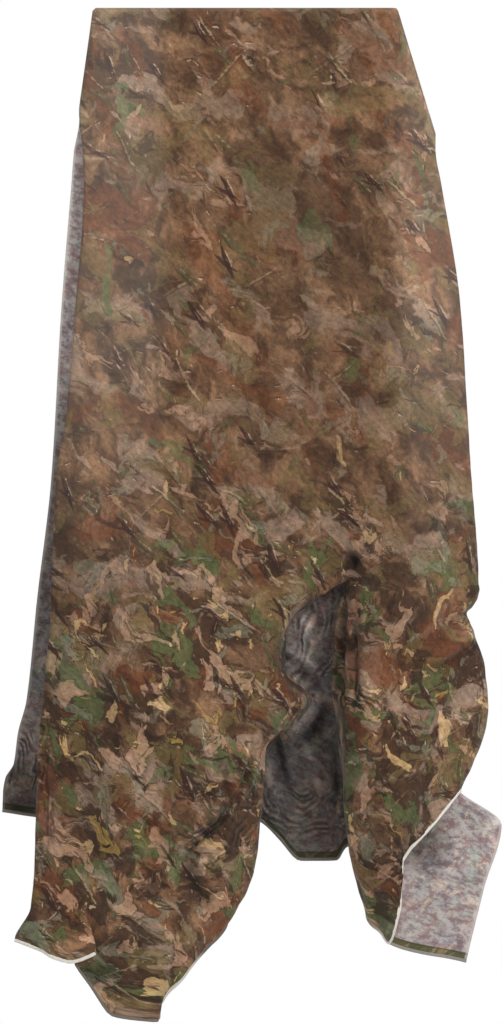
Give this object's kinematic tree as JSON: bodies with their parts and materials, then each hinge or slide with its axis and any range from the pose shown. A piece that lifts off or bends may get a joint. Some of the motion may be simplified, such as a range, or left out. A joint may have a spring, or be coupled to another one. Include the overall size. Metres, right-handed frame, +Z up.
{
  "type": "camouflage net",
  "caption": "Fine-mesh camouflage cloth folded over a level line by its middle, both layers hanging, the front one parted low down into two bulging lobes.",
  "frame": {"origin": "top of the fold that lies on the line, at the middle of its level part", "axes": "+Z up, +X along the top fold, the front layer faces -Y"},
  "size_m": [0.751, 0.1493, 1.5038],
  "materials": {
    "net_cloth": null
  },
  "bodies": {
    "root": {"camouflage_net": "net_cloth"}
  },
  "joints": []
}
